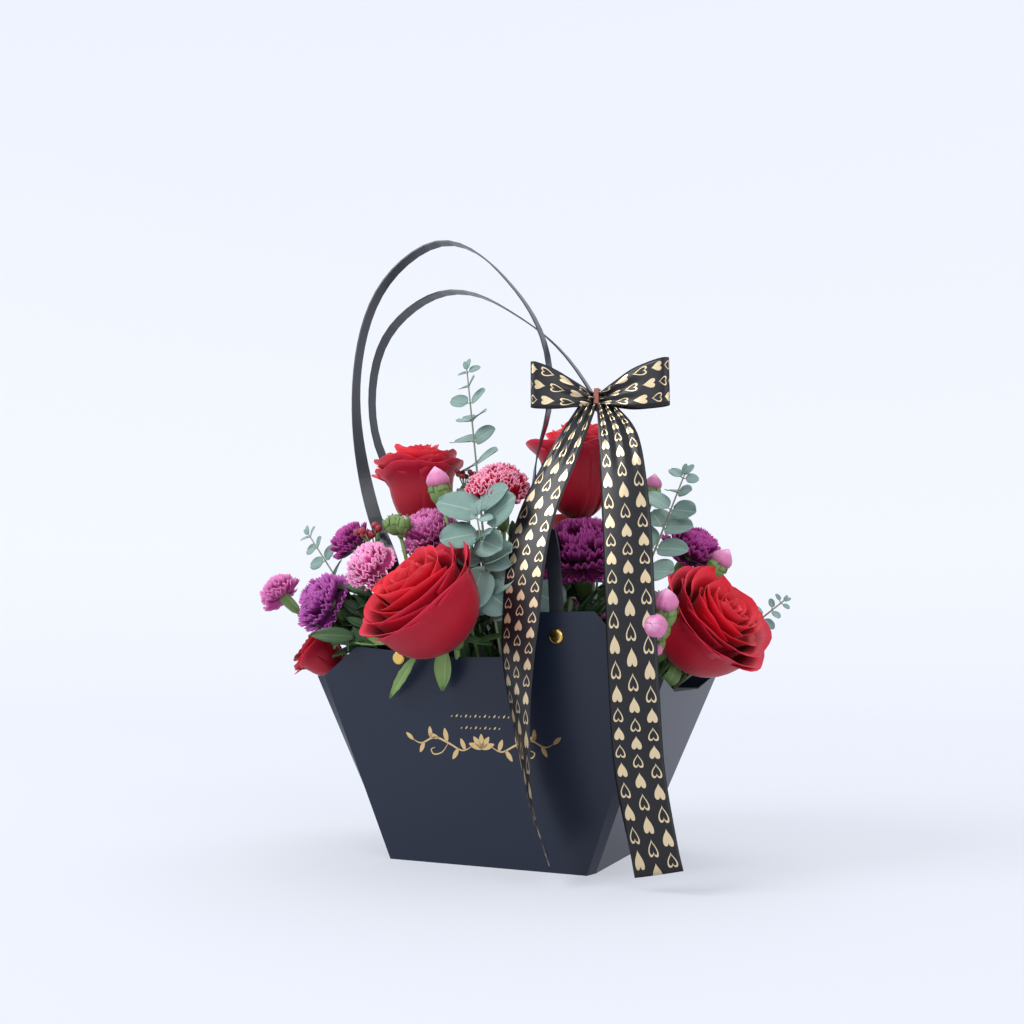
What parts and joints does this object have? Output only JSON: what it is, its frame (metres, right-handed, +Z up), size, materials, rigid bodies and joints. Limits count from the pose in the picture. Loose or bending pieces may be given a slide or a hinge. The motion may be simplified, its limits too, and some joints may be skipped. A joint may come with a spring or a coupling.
{
  "type": "flower box",
  "caption": "Flared card carry box with two riveted strap handles and a ribbon bow, filled with roses, carnations and eucalyptus that stand in wet foam.",
  "frame": {"origin": "middle of the base's underside, on the table", "axes": "+Z up, -Y towards the front panel, +X to the right as seen from the front"},
  "size_m": [0.392, 0.2382, 0.4251],
  "materials": {
    "card": "satin",
    "brass": "polished",
    "strap": "satin",
    "film": "gloss",
    "wet_foam": "matte",
    "rose_gold": "polished",
    "ribbon": "satin",
    "rose_petals": "matte",
    "pink_petals": "matte",
    "purple_petals": "matte",
    "bud_green": "matte",
    "berry_red": "satin",
    "grey_leaf": "matte"
  },
  "bodies": {
    "box": {"back_left_rivet": "brass", "back_panel": "card", "back_right_rivet": "brass", "back_strap_ends": "strap", "back_washers": "brass", "base_board": "card", "berries_centre": "berry_red", "berries_left": "berry_red", "bud_low_right": "bud_green", "bud_pink_left": "bud_green", "bud_top_right": "bud_green", "buds_green": "bud_green", "buds_pink_right": "bud_green", "carnation_back_left": "purple_petals", "carnation_back_middle": "purple_petals", "carnation_back_right": "purple_petals", "carnation_centre": "purple_petals", "carnation_dark_left": "purple_petals", "carnation_far_left": "pink_petals", "carnation_left": "purple_petals", "carnation_mid": "purple_petals", "carnation_pink": "pink_petals", "carnation_right": "purple_petals", "carnation_variegated": "pink_petals", "eucalyptus_back": "grey_leaf", "eucalyptus_far_right": "grey_leaf", "eucalyptus_front": "grey_leaf", "eucalyptus_left": "grey_leaf", "eucalyptus_right": "grey_leaf", "eucalyptus_tall": "grey_leaf", "film_liner": "film", "floral_foam": "wet_foam", "front_left_rivet": "brass", "front_panel": "card", "front_right_rivet": "brass", "front_strap_ends": "strap", "front_washers": "brass", "left_gusset": "card", "right_gusset": "card", "rose_back": "rose_petals", "rose_back_left": "rose_petals", "rose_back_right": "rose_petals", "rose_centre": "rose_petals", "rose_front_left": "rose_petals", "rose_right": "rose_petals", "rose_rim_left": "rose_petals"},
    "front_handle": {"handle_front": "strap"},
    "back_handle": {"handle_back": "strap", "bow_knot": "ribbon", "bow_band": "rose_gold", "bow_left_loop": "ribbon", "bow_right_loop": "ribbon", "ribbon_left_tail": "ribbon", "ribbon_right_tail": "ribbon"}
  },
  "joints": [
    {"name": "back_handle_swing", "type": "hinge", "parent": "box", "child": "back_handle", "pos_m": [0, 0.0747, 0.1634], "axis": [-1, 0, 0], "range_deg": [0, 6]},
    {"name": "front_handle_swing", "type": "hinge", "parent": "box", "child": "front_handle", "pos_m": [0, -0.0747, 0.1634], "axis": [-1, 0, 0], "range_deg": [0, 6]}
  ],
  "couplings": [
    {"joint": "front_handle_swing", "follows": "back_handle_swing", "ratio": 1}
  ]
}
